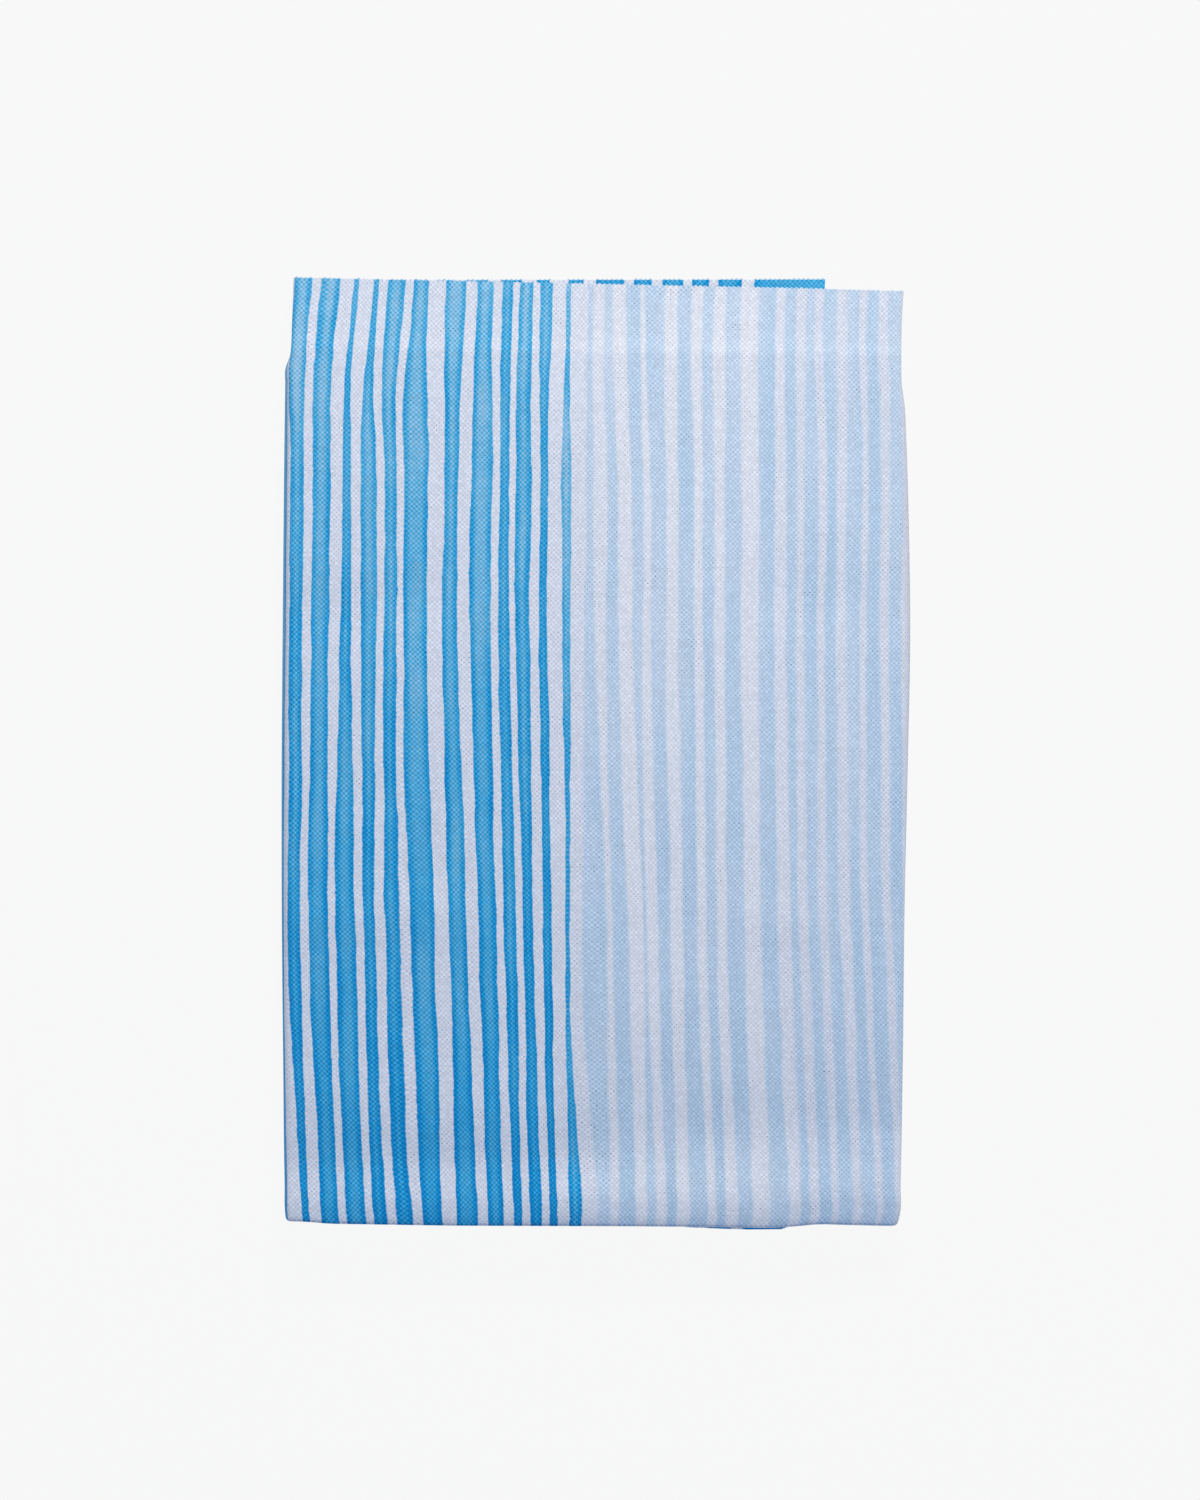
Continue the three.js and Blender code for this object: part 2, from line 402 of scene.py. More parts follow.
# off the middle line, with crisp outer creases on the two wraps
foot_blend = np.exp(-rows_up / FOOT_REACH)[:, None]
offset = half * (PLY_OFFSET + (FOOT_RADIUS - PLY_OFFSET) * foot_blend)
length = np.hypot(normal_x, normal_z)
unit_x, unit_z = normal_x / length, normal_z / length
square = (abs(unit_x) ** CRISP + abs(unit_z) ** CRISP) ** (-1 / CRISP) - 1
in_wrap = np.isin(place, WRAPS)
outward = offset + square * in_wrap * (half > 0) * (WRAP_CORNER + offset)
flat_x = line_x + outward * unit_x
flat_z = line_z + outward * unit_z

# up and down the strip
selvedge = np.where(half < 0, under_edge(line_x)[None, :], heads)
half_width = np.where(half < 0, SHORT_HALF, LONG_HALF)
share_up = rows_up[:, None] / half_width
fold_y = feet + FOOT_RADIUS
y = fold_y + (selvedge - fold_y) * share_up - FOOT_RADIUS * rows_round[:, None]

# into the pack's outline
wall_share = np.zeros(len(place))
for wrap in WRAPS:
    here = place == wrap
    z_low, z_high = line_z[here].min(), line_z[here].max()
    up_wall = (line_z[here] - z_low) / (z_high - z_low)
    wall_share[here] = np.sin(np.pi * up_wall) ** WALL_ROUNDNESS
left, right = along_table(y, SIDES, 1), along_table(y, SIDES, 3)
way = (flat_x + HALF_WIDTH) / (2 * HALF_WIDTH)
x = left + (right - left) * way
x = x - along_table(y, SIDES, 2) * wall_share * (place == WRAPS[0])
x = x + along_table(y, SIDES, 4) * wall_share * (place == WRAPS[1])
sag = OVERHANG_SAG * smoothstep(flat_x, END_EDGE, HALF_WIDTH)
share = flat_z / PACK_HEIGHT
z = (flat_z - sag) * height_share(x, y) + share * share * relief(x, y)
z -= z.min() - PLY / 2

# how the stripes lean
way = np.clip(way, LEAN_AT[0], LEAN_AT[-1])
lean = np.zeros_like(y)
for k in range(len(LEAN_AT) - 1):
    t = smoothstep(way, LEAN_AT[k], LEAN_AT[k + 1])
    here = (way >= LEAN_AT[k]) & (way <= LEAN_AT[k + 1])
    between = along_table(y, LEAN, k + 1) * (1 - t) + along_table(y, LEAN, k + 2) * t
    lean = np.where(here, between, lean)
lean = lean * smoothstep(place, *LEAN_STARTS) * (1 - smoothstep(place, *LEAN_ENDS))

# the place of each point on the flat cloth
top_centre = np.argmin(abs(line_x) + HALF_WIDTH * (on_top < 1))  # its column
chart_row = np.argmin(abs(y[:, top_centre] - CHART_Y) + LONG_HALF * (rows_half < 0))
row_x, row_z = x[chart_row], z[chart_row]
path = np.concatenate([[0.0], np.cumsum(np.hypot(np.diff(row_x), np.diff(row_z)))])
LENGTH = float(path[-1])
flat_u = path[None, :] - lean
flat_v = np.broadcast_to(rows_across[:, None], flat_u.shape)
print("the strip is", round(LENGTH, 1), "mm long, and the grid spans")
for axis, values in (("x", x), ("y", y), ("z", z)):
    print(axis, round(float(values.min()), 1), "to", round(float(values.max()), 1), "mm")

# %% [markdown]
# The grid becomes a mesh of quads. Its rows and columns already know their place on the flat
# cloth, so the UV map is written from them, in metres, instead of being unwrapped. Solidify
# then gives the cloth its thickness and closes its edges. Edges as sharp as the cut ones are
# marked, so that the smooth shading of the face doesn't run over onto the cloth's rim.

# %% The sheet
def grid_mesh(name, points, uvs):
    rows, columns = points.shape[:2]
    mesh = bpy.data.meshes.new(name)
    index = np.arange(rows * columns).reshape(rows, columns)
    quads = np.stack([index[:-1, :-1], index[:-1, 1:], index[1:, 1:], index[1:, :-1]], -1)
    mesh.from_pydata(points.reshape(-1, 3).tolist(), [], quads.reshape(-1, 4).tolist())
    layer = mesh.uv_layers.new(name="cloth")
    corners = np.zeros(len(mesh.loops), np.int32)
    mesh.loops.foreach_get("vertex_index", corners)
    layer.data.foreach_set("uv", uvs.reshape(-1, 2)[corners].ravel())
    mesh.shade_smooth()
    return mesh


def make_plain(piece):
    """Apply a piece's modifiers, so that it is a plain mesh."""
    graph = bpy.context.evaluated_depsgraph_get()
    mesh = bpy.data.meshes.new_from_object(piece.evaluated_get(graph))
    piece.modifiers.clear()
    piece.data = mesh


RIM_ANGLE = 70.0  # degrees between faces from which an edge is a sharp one
points = np.stack([x, y, z], -1) * MM
uvs = np.stack([flat_u, flat_v], -1) * MM
towel = bpy.data.objects.new("towel", grid_mesh("towel", points, uvs))
scene.collection.objects.link(towel)
thick = towel.modifiers.new("thickness", "SOLIDIFY")
thick.thickness = PLY * MM
thick.offset = 0.0
make_plain(towel)
towel.data.set_sharp_from_angle(angle=math.radians(RIM_ANGLE))
triangles = sum(len(p.vertices) - 2 for p in towel.data.polygons)
print("the towel has", triangles, "triangles")

# %% [markdown]
# ## Node helpers
# A shader is a small program drawn as boxes and wires. These helpers write one box on one line:
# a value that comes from another box is wired, and any other value is set on the socket.

# %% Helpers for node trees
def node(tree, kind, inputs=None, **settings):
    """A node with its settings made and its inputs, {key: value or socket}, filled."""
    made = tree.nodes.new(kind)
    for name, value in settings.items():
        setattr(made, name, value)
    for key, value in (inputs or {}).items():
        if isinstance(value, bpy.types.NodeSocket):
            tree.links.new(value, made.inputs[key])
        else:
            made.inputs[key].default_value = value
    return made


def maths(tree, operation, *values, clamp=False):
    made = node(tree, "ShaderNodeMath", dict(enumerate(values)), operation=operation,
                use_clamp=clamp)
    return made.outputs[0]


def ranged(tree, value, from_min, from_max, to_min=0.0, to_max=1.0, kind="SMOOTHSTEP"):
    return node(tree, "ShaderNodeMapRange",
                {0: value, 1: from_min, 2: from_max, 3: to_min, 4: to_max},
                interpolation_type=kind).outputs[0]


def vector(tree, x, y, z=0.0):
    return node(tree, "ShaderNodeCombineXYZ", {0: x, 1: y, 2: z}).outputs[0]


def blended(tree, factor, start, end):
    """Two colours mixed."""
    return node(tree, "ShaderNodeMix", {0: factor, 6: start, 7: end}, data_type="RGBA").outputs[2]


def ripple(tree, along, across, along_mm, across_mm, size, seed, detail=1.0):
    """Soft noise about zero, of about the given size, on the flat cloth."""
    at = vector(tree, maths(tree, "DIVIDE", along, along_mm),
                maths(tree, "DIVIDE", across, across_mm), seed)
    noise = node(tree, "ShaderNodeTexNoise", {"Vector": at, "Scale": 1.0, "Detail": detail})
    return maths(tree, "MULTIPLY", maths(tree, "SUBTRACT", noise.outputs[0], 0.5), 4 * size)


def new_group(name, inputs, outputs, kind="ShaderNodeTree"):
    """An empty group with named sockets: {name: (type, default)} and {name: type}."""
    tree = bpy.data.node_groups.new(name, kind)
    for label, (data, default) in inputs.items():
        socket = tree.interface.new_socket(label, in_out="INPUT", socket_type="NodeSocket" + data)
        if default is not None:
            socket.default_value = default
    for label, data in outputs.items():
        tree.interface.new_socket(label, in_out="OUTPUT", socket_type="NodeSocket" + data)
    return tree, node(tree, "NodeGroupInput").outputs, node(tree, "NodeGroupOutput")


def placed_group(tree, group, inputs):
    return node(tree, "ShaderNodeGroup", inputs, node_tree=group).outputs


def principled(name):
    """A new material, its node tree and its Principled shader."""
    material = bpy.data.materials.new(name)
    material.use_nodes = True
    tree = material.node_tree
    return material, tree, next(n for n in tree.nodes if n.type == "BSDF_PRINCIPLED")


print("helpers ready")

# %% [markdown]
# ## The stripes
# The pattern is a common one: uneven stripes that waver as if drawn by hand. The stripes are
# charted, as a weaver or dyer would, by their places and widths along the cloth. Each has
# four widths, from the head of the pack to its foot. Everything finer, such as the wavering,
# the tremble of the edges and the bleed of the dye, comes from noise.
#
# The chart goes into Color Ramps in an unusual way. A ramp that jumps from white to blue could
# not be bent or softened. So each ramp holds a distance instead: its value is highest at the
# middle of a stripe, lowest at the middle of a gap, and 0.5 exactly on an edge. Adding a
# little noise to that distance moves the edge, and its value tells how far inside a stripe a
# point lies, which is where the darker rim of the dye comes from.
#
# Places are counted from the fold at the pack's left side, in millimetres along the cloth, in
# two tables: deep stripes, and pale ones, which repeat over the middle of the towel. The ends
# of the towel share a third one, counted from the cut end.

# %% The stripe chart
#    middle  widths from the head to the foot
DEEP = [
    (-3.7, 4.0, 5.2, 4.0, 3.2),
    (1.3, 3.2, 2.5, 2.3, 1.3),
    (5.7, 3.0, 3.2, 3.5, 3.2),
    (10.5, 1.1, 1.6, 3.6, 3.5),
    (14.8, 1.1, 3.1, 2.1, 2.5),
    (18.8, 3.2, 2.3, 2.4, 2.2),
    (23.4, 3.0, 4.5, 4.0, 3.6),
    (30.0, 3.9, 2.6, 3.5, 4.1),
    (35.6, 3.2, 3.9, 3.4, 3.0),
    (39.9, 1.9, 1.9, 2.5, 1.6),
    (43.4, 2.7, 2.9, 2.0, 2.4),
    (47.2, 2.3, 1.4, 1.9, 1.8),
    (51.5, 0.9, 1.8, 0.8, 2.2),
]
DEEP_SPAN = (-7.6, 53.6)
PALE = [
    (55.9, 1.2, 1.4, 3.8, 2.2),
    (60.1, 2.0, 2.0, 2.8, 3.2),
    (64.7, 2.6, 2.3, 0.6, 2.0),
    (68.6, 3.6, 3.0, 2.6, 2.1),
    (73.8, 2.3, 3.0, 2.8, 3.4),
    (78.0, 1.9, 2.2, 2.0, 1.8),
    (82.5, 2.8, 3.0, 3.3, 2.6),
    (88.7, 3.2, 3.0, 3.0, 3.3),
    (93.3, 2.2, 2.0, 1.4, 1.5),
    (96.9, 1.6, 2.6, 2.0, 2.2),
    (100.6, 2.4, 1.9, 2.2, 2.5),
    (104.8, 2.3, 3.0, 2.0, 2.7),
    (108.6, 2.4, 2.4, 2.9, 2.4),
    (112.8, 2.6, 2.4, 2.5, 2.2),
]
PALE_SPAN = (53.6, 115.2)
LEVELS = (0.98, 0.80, 0.28, 0.0)  # where those widths hold, as shares of the wide half's height
#      middle, width
END = [(0.0, 27.2), (17.85, 4.5), (23.6, 3.4), (29.0, 4.4), (35.05, 3.5), (41.1, 4.8),
       (47.1, 2.8), (52.9, 2.4), (58.8, 4.1), (65.2, 4.0), (71.1, 3.0), (77.0, 4.2),
       (83.8, 3.6), (90.2, 4.4), (97.4, 5.0)]
RAMP_MM = 20.0  # this much distance is the ramp's whole range


def distance_ramp(tree, at, rows, column, span):
    """A ramp over a stretch of cloth, from a list of stripes: 0.5 on an edge, more inside."""
    start, end = span
    edges = [(row[0] - row[column] / 2, row[0] + row[column] / 2) for row in rows]
    stops = []
    for i, (low_edge, high_edge) in enumerate(edges):
        before = edges[i - 1][1] if i else 2 * start - low_edge
        stops.append(((before + low_edge) / 2, -(low_edge - before) / 2))
        stops.append(((low_edge + high_edge) / 2, (high_edge - low_edge) / 2))
    stops.append((end, -(end - edges[-1][1])))
    stops = [stop for stop in stops if start <= stop[0] <= end]
    made = node(tree, "ShaderNodeValToRGB", {0: ranged(tree, at, start, end, kind="LINEAR")})
    ramp = made.color_ramp
    while len(ramp.elements) > 1:
        ramp.elements.remove(ramp.elements[-1])
    for i, (at_mm, distance) in enumerate(stops):
        position = (at_mm - start) / (end - start)
        element = ramp.elements.new(position) if i else ramp.elements[0]
        element.position = position
        value = min(max(0.5 + distance / RAMP_MM, 0.0), 1.0)
        element.color = (value, value, value, 1.0)
    value = node(tree, "ShaderNodeSeparateColor", {0: made.outputs[0]}).outputs[0]
    return maths(tree, "MULTIPLY", maths(tree, "SUBTRACT", value, 0.5), RAMP_MM)


LEFT_EDGE = -57.0  # X where the chart begins
crease_at = float(path[top_centre] - (row_x[top_centre] - LEFT_EDGE))
print(len(END), "stripes at each end,", len(DEEP), "deep and", len(PALE), "pale ones;",
      "the left crease is", round(crease_at, 1), "mm from the cut end")

# %% [markdown]
# The group below turns a point of the flat cloth into the colour of the dye there. The towel
# is folded, so the same stripes must run over every fold without a break, and the frayed ends
# must take the colour of the cloth that they hang from. That is why it is a group that reads
# flat places, and not a picture laid on the top face.

# %% The dye group
COTTON = (0.855, 0.825, 0.86)
WHITEST = (0.88, 0.845, 0.875)  # the ground where no deep stripe is near
STAIN_AND_HOLE_SHADE = (0.50, 0.57, 0.80)  # a trace of dye between deep stripes, and painted bluish shade in their low crossings
# four colours of each dye, from the least of it to the most
DEEP_DYE = [(0.420, 0.640, 0.810), (0.105, 0.470, 0.730), (0.016, 0.352, 0.685),
            (0.003, 0.265, 0.610)]
PALE_DYE = [(0.710, 0.765, 0.862), (0.618, 0.722, 0.840), (0.541, 0.679, 0.820),
            (0.474, 0.638, 0.799)]
DEEP_DEPTHS = (0.25, 1.15)  # the depths of dye that the first and last colours stand for
PALE_DEPTHS = (0.09, 0.27)

# noises over the cloth: mm along it and across it for one wave, size, seed, detail
SWAY, FINE_SWAY = (9.0, 44.0, 0.18, 3.1, 2.0), (4.0, 13.0, 0.10, 8.6)
BREATH = (5.0, 22.0, 0.11, 15.2, 2.0)
TREMBLE, FINE_TREMBLE = (2.0, 5.0, 0.11, 21.7, 2.0), (1.5, 0.45, 0.07, 33.4)
RIM_CHANGE = (3.0, 14.0, 0.16, 28.3, 2.0)
CLOUD, FINE_CLOUD = (5.0, 22.0, 0.10, 41.9, 2.0), (3.0, 0.9, 0.03, 47.3)
TONE_CHANGE = (5.5, 60.0, 0.05, 55.8, 2.0)
FADING = (4.0, 16.0, 0.10, 61.2)

# distances in mm
CREEP = 0.07  # of the dye along the yarns that are on top
DEEP_EDGE, PALE_EDGE = (-0.09, 0.11), (-0.34, 0.36)  # over which an edge goes from white to dye
RIM_REACH = (0.25, 1.35)
LAST_STRIPE = (49.0, 50.2)  # where the weaker last stripe begins, on the chart
WHITEST_STARTS, WHITEST_ENDS = (52.0, 62.0), (98.0, 84.0)  # on the chart, too

# depths and shares of dye
HEAD_DEPTH, FOOT_DEPTH = 0.37, 0.70  # of the deep stripes
RIM_DEPTH, RIM_PER_DEPTH = 0.14, 0.36  # a deeper stripe has a deeper rim
END_DEPTH = 0.32  # more of it at the towel's ends
LAST_DEPTH = -0.2  # less of it in the last deep stripe
PALE_DEPTH, PALE_PER_DEPTH = 0.13, 0.07  # and pale stripes are deeper where deep ones are
PALE_COVER = 0.96
STAIN_AND_SHADE_SHARE = 0.10


def dye_ramp(tree, depth, colors, depths):
    """The colour for a depth of dye."""
    made = node(tree, "ShaderNodeValToRGB", {0: ranged(tree, depth, *depths, kind="LINEAR")})
    stops = made.color_ramp.elements
    stops[0].color, stops[1].color = colors[0] + (1.0,), colors[-1] + (1.0,)
    for k in range(1, len(colors) - 1):
        stops.new(k / (len(colors) - 1)).color = colors[k] + (1.0,)
    return made.outputs[0]


def dye_group():
    tree, given, result = new_group(
        "dyed stripes",
        {"Place": ("Vector", (0.0, 0.0, 0.0)), "Weave": ("Float", 0.0),
         "Depth": ("Float", 1.0)},
        {"Color": "Color"})
    flat = node(tree, "ShaderNodeSeparateXYZ", {0: given["Place"]})
    along = maths(tree, "MULTIPLY", flat.outputs[0], 1 / MM)
    across = maths(tree, "MULTIPLY", flat.outputs[1], 1 / MM)
    from_end = maths(tree, "MINIMUM", along, maths(tree, "SUBTRACT", LENGTH, along))
    chart = maths(tree, "SUBTRACT", from_end, crease_at)
    level = maths(tree, "DIVIDE", maths(tree, "SUBTRACT", across, FOLD_ACROSS), LONG_HALF)

    def noise(values):
        return ripple(tree, chart, across, *values)

    # the line of each stripe wanders slowly
    sway = maths(tree, "ADD", noise(SWAY), noise(FINE_SWAY))
    at = maths(tree, "ADD", chart, sway)
    steps = [ranged(tree, level, start, end) for start, end in zip(LEVELS[:-1], LEVELS[1:])]

    def levelled(rows, where, span):
        """The distance inside a stripe whose width changes from level to level."""
        distance = distance_ramp(tree, where, rows, 1, span)
        for column, step in enumerate(steps, 2):
            change = maths(tree, "SUBTRACT", distance_ramp(tree, where, rows, column, span),
                           distance)
            distance = maths(tree, "MULTIPLY_ADD", change, step, distance)
        return distance

    deep = levelled(DEEP, at, DEEP_SPAN)
    repeat = maths(tree, "WRAP", at, PALE_SPAN[1], PALE_SPAN[0])
    pale = levelled(PALE, repeat, PALE_SPAN)
    end_span = (0.0, crease_at + DEEP_SPAN[0])
    end = distance_ramp(tree, maths(tree, "ADD", from_end, sway), END, 1, end_span)
    is_end = maths(tree, "LESS_THAN", at, DEEP_SPAN[0])
    is_pale = maths(tree, "GREATER_THAN", at, PALE_SPAN[0])
    strong = maths(tree, "MULTIPLY_ADD", maths(tree, "SUBTRACT", end, deep), is_end, deep)

    # a stripe breathes, its edge trembles, and the dye creeps a little along each yarn
    tremble = maths(tree, "ADD", noise(TREMBLE), noise(FINE_TREMBLE))
    tremble = maths(tree, "MULTIPLY_ADD", given["Weave"], CREEP, tremble)
    edge = maths(tree, "ADD", tremble, noise(BREATH))
    strong = maths(tree, "ADD", strong, edge)
    pale = maths(tree, "ADD", pale, edge)
    cover_strong = ranged(tree, strong, *DEEP_EDGE)

    # deep stripes: a darker rim, and deeper colour towards the foot and the ends
    depth_here = ranged(tree, level, 1.0, 0.0, HEAD_DEPTH, FOOT_DEPTH, kind="LINEAR")
    rim_depth = maths(tree, "MULTIPLY_ADD", depth_here, RIM_PER_DEPTH,
                      maths(tree, "ADD", RIM_DEPTH, noise(RIM_CHANGE)))
    rim = maths(tree, "MULTIPLY", ranged(tree, strong, *RIM_REACH, 1.0, 0.0), rim_depth)
    cloud = maths(tree, "ADD", noise(CLOUD), noise(FINE_CLOUD))
    depth = maths(tree, "ADD", maths(tree, "ADD", rim, depth_here), cloud)
    depth = maths(tree, "MULTIPLY_ADD", is_end, END_DEPTH, depth)
    depth = maths(tree, "MULTIPLY_ADD", ranged(tree, chart, *LAST_STRIPE), LAST_DEPTH, depth)
    depth = maths(tree, "MULTIPLY", depth, given["Depth"])
    deep_blue = dye_ramp(tree, depth, DEEP_DYE, DEEP_DEPTHS)

    # pale stripes differ from one to the next, and fade in and out along their length
    tone = maths(tree, "ADD", PALE_DEPTH, noise(TONE_CHANGE))
    tone = maths(tree, "MULTIPLY_ADD", depth_here, PALE_PER_DEPTH, tone)
    pale_depth = maths(tree, "MULTIPLY", tone, given["Depth"])
    pale_blue = dye_ramp(tree, pale_depth, PALE_DYE, PALE_DEPTHS)
    fade = maths(tree, "ADD", PALE_COVER, noise(FADING), clamp=True)
    cover = maths(tree, "MULTIPLY", ranged(tree, pale, *PALE_EDGE), fade)

    # the ground: whitest far from the deep stripes, a little stained among them, and given
    # painted bluish shade in the low crossings there
    whiteness = maths(tree, "MULTIPLY", ranged(tree, chart, *WHITEST_STARTS),
                      ranged(tree, chart, *WHITEST_ENDS))
    clean = blended(tree, whiteness, COTTON + (1.0,), WHITEST + (1.0,))
    stain_and_hole_shade = maths(tree, "MULTIPLY", maths(tree, "SUBTRACT", 1.0, whiteness),
                  maths(tree, "MULTIPLY_ADD", given["Weave"], -STAIN_AND_SHADE_SHARE, STAIN_AND_SHADE_SHARE))
    ground = blended(tree, stain_and_hole_shade, clean, STAIN_AND_HOLE_SHADE + (1.0,))
    pale_cloth = blended(tree, cover, ground, pale_blue)
    deep_cloth = blended(tree, cover_strong, ground, deep_blue)
    color = blended(tree, is_pale, deep_cloth, pale_cloth)
    tree.links.new(color, result.inputs["Color"])
    return tree


dyed = dye_group()
print("the dye group has", len(dyed.nodes), "nodes")

# %% [markdown]
# ## The weave
# The cloth is a plain weave: each yarn goes over one crossing yarn and under the next. There
# are about 22 yarns to the centimetre both ways, so one yarn is 0.45 mm. The product of two
# sine waves, one along each yarn, rises where one set of yarns is on top and falls where the
# other is. At the low crossings the light falls between the yarns, and small dark holes show.
# No two are alike, because cotton yarn has thick and thin stretches. The light and shade of
# the weave are painted into the colour: the crossings on top lighter, the holes dark.

# %% The weave group
YARN = 0.45 * MM
# noises, with their lengths counted in yarns
ALONG_BEND, ACROSS_BEND = (14.0, 9.0, 0.2, 2.4), (9.0, 14.0, 0.2, 6.8)
HOLE_PATCHES = (11.0, 11.0, 0.4, 12.6)
THICK_WEFT, THICK_WARP = (26.0, 0.9, 0.5, 17.3), (0.9, 26.0, 0.5, 23.9)
HOLE_DEPTHS = (-0.1, -0.9)  # how low a crossing lies at the rim of its hole and at its middle
HOLE_SHARE, LEAST_HOLE = 0.55, 0.08
FEW_LARGE = 3.0  # power of the chance that a hole is large
DARKEST = 0.08
SLUB_HEIGHT = 0.3


def weave_group():
    tree, given, result = new_group(
        "plain weave",
        {"Place": ("Vector", (0.0, 0.0, 0.0)), "Yarn": ("Float", YARN),
         "Contrast": ("Float", 0.056), "Grain": ("Float", 0.18), "Holes": ("Float", 0.5),
         "Slubs": ("Float", 0.05)},
        {"Shade": "Float", "Over": "Float", "Height": "Float"})
    flat = node(tree, "ShaderNodeSeparateXYZ", {0: given["Place"]})
    along = maths(tree, "DIVIDE", flat.outputs[0], given["Yarn"])
    across = maths(tree, "DIVIDE", flat.outputs[1], given["Yarn"])
    along = maths(tree, "ADD", along, ripple(tree, along, across, *ALONG_BEND))
    across = maths(tree, "ADD", across, ripple(tree, along, across, *ACROSS_BEND))
    over = maths(tree, "MULTIPLY",
                 maths(tree, "SINE", maths(tree, "MULTIPLY", along, math.pi)),
                 maths(tree, "SINE", maths(tree, "MULTIPLY", across, math.pi)))
    cell = vector(tree, maths(tree, "FLOOR", along), maths(tree, "FLOOR", across))
    chance = node(tree, "ShaderNodeTexWhiteNoise", {"Vector": cell}).outputs[0]
    patch = maths(tree, "ADD", HOLE_SHARE, ripple(tree, along, across, *HOLE_PATCHES), clamp=True)
    open_share = maths(tree, "MULTIPLY_ADD", maths(tree, "POWER", chance, FEW_LARGE), patch,
                       LEAST_HOLE)
    hole = maths(tree, "MULTIPLY", ranged(tree, over, *HOLE_DEPTHS), open_share)
    slub = maths(tree, "ADD", ripple(tree, along, across, *THICK_WEFT),
                 ripple(tree, along, across, *THICK_WARP))
    grain = maths(tree, "SUBTRACT", chance, 0.5)
    # painted light and shade: the crossings on top lighter, the holes darker; the grain and the
    # slubs are the yarns' own tone
    shade = maths(tree, "MULTIPLY_ADD", over, given["Contrast"], 1.0)
    shade = maths(tree, "MULTIPLY_ADD", grain, given["Grain"], shade)
    shade = maths(tree, "SUBTRACT", shade, maths(tree, "MULTIPLY", hole, given["Holes"]))
    shade = maths(tree, "ADD", shade, maths(tree, "MULTIPLY", slub, given["Slubs"]))
    shade = maths(tree, "MAXIMUM", shade, DARKEST)
    tree.links.new(shade, result.inputs["Shade"])
    tree.links.new(over, result.inputs["Over"])
    height = maths(tree, "MULTIPLY_ADD", slub, SLUB_HEIGHT, maths(tree, "SUBTRACT", over, hole))
    tree.links.new(height, result.inputs["Height"])
    return tree


woven = weave_group()
print("the weave group has", len(woven.nodes), "nodes; one yarn is", YARN / MM, "mm")

# %% [markdown]
# ## The cotton
# The material reads the UV map, asks one group for the dye and the other for the weave, and
# feeds a Principled shader. Cotton is rough and has no metal in it. A little sheen stands for
# the fuzz of fibre ends, which catches light at a slant.

# %% The cotton material
DEPTH_ON_CROWNS = -0.27  # the crossings that stand up take a lighter colour
BUMP, BUMP_DEPTH = 0.12, 0.05 * MM
ROUGHNESS, ROUGHNESS_PER_HEIGHT = 0.86, -0.04
SPECULAR = 0.08
SHEEN, SHEEN_ROUGHNESS = 0.03, 0.5
# the weave's holes are painted dark as shade; this says how dark
HOLE_SHADE = 0.65  # how dark the holes of the woven cloth are


def cotton_material(name, place_kind, place_name, holes):
    material, tree, shader = principled(name)
    if place_kind == "UV":
        at = node(tree, "ShaderNodeUVMap", uv_map=place_name).outputs[0]
    else:
        at = node(tree, "ShaderNodeAttribute", attribute_name=place_name).outputs["Vector"]
    weave = placed_group(tree, woven, {"Place": at, "Holes": holes})
    dye = placed_group(tree, dyed, {
        "Place": at, "Weave": weave["Over"],
        "Depth": maths(tree, "MULTIPLY_ADD", weave["Over"], DEPTH_ON_CROWNS, 1.0)})
    # the dye's colour is scaled by the weave's painted light and shade
    weave_shaded_dye = node(tree, "ShaderNodeVectorMath", {0: dye["Color"]}, operation="SCALE")
    tree.links.new(weave["Shade"], weave_shaded_dye.inputs["Scale"])
    tree.links.new(weave_shaded_dye.outputs[0], shader.inputs["Base Color"])
    bump = node(tree, "ShaderNodeBump", {"Height": weave["Height"], "Strength": BUMP,
                                         "Distance": BUMP_DEPTH})
    tree.links.new(bump.outputs[0], shader.inputs["Normal"])
    rough = maths(tree, "MULTIPLY_ADD", weave["Height"], ROUGHNESS_PER_HEIGHT, ROUGHNESS)
    tree.links.new(rough, shader.inputs["Roughness"])
    shader.inputs["Specular IOR Level"].default_value = SPECULAR
    shader.inputs["Sheen Weight"].default_value = SHEEN
    shader.inputs["Sheen Roughness"].default_value = SHEEN_ROUGHNESS
    return material


cotton = cotton_material("dyed cotton", "UV", "cloth", HOLE_SHADE)
towel.data.materials.clear()
towel.data.materials.append(cotton)
print("materials:", [m.name for m in bpy.data.materials])

# %% [markdown]
# ## Loose yarns along the edges
# A tenugui isn't hemmed. Its two short ends are cut, and the outermost crossing yarns soon fall
# away, so that the yarns along the cloth stand out as a short fringe. Along the two selvedges
# each crossing yarn turns round and goes back in, which leaves a row of small loops. In this
# pack the loops show at the head, and the fringes in the gap under the right side.
#
# Both are one short bent yarn, repeated, so one Geometry Nodes tree makes both. It reads points
# that know which way the edge faces, puts a yarn on each, and varies its length and direction
# by a seeded random value. The points also carry their place on the flat cloth, which the
# yarns keep, and from which their colour comes.

# %% The tree that sets yarns along an edge
CURVE_STEPS = 4
YARN_SIDES = 3
YARN_RADIUS = 0.13 * MM


